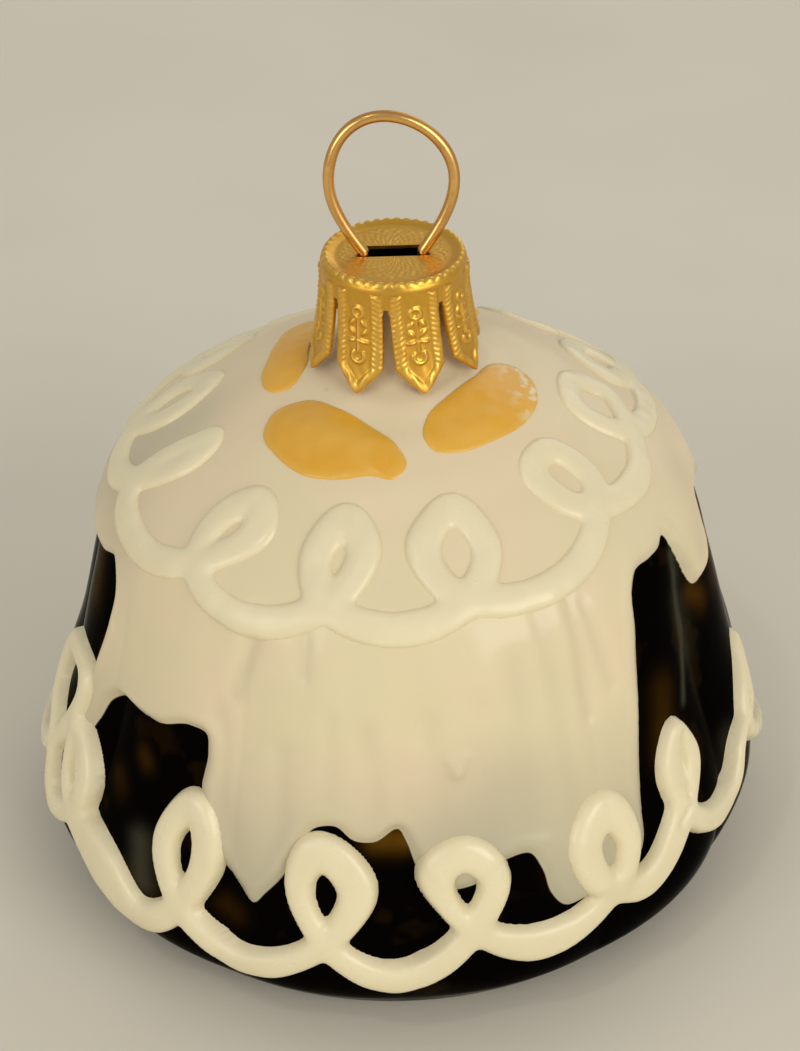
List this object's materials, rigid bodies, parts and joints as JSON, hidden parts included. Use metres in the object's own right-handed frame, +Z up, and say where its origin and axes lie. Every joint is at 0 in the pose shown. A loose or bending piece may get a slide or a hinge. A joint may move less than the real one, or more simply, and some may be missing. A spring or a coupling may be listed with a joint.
{
  "type": "glass bundt cake ornament",
  "caption": "Blown glass tree ornament shaped as an iced chocolate bundt cake, with looped white piping, almonds, a pressed crown cap and a wire loop to hang it by.",
  "frame": {"origin": "middle of the flat base, on the surface the ornament stands on", "axes": "+Z up through the neck and cap, -Y towards the front, where the icing parts to show the dark side, +X to the right seen from the front"},
  "size_m": [0.0755, 0.0754, 0.0773],
  "materials": {
    "painted_glass": "near-black brown lacquer on blown glass, high gloss, opaque",
    "pressed_brass": "thin pressed sheet, gold-coloured, embossed, satin",
    "gold_wire": "drawn spring wire, coppery gold, bright"
  },
  "bodies": {
    "root": {"glass_cake": "painted_glass", "crown_cap": "pressed_brass", "hanger_wire": "gold_wire"}
  },
  "joints": []
}
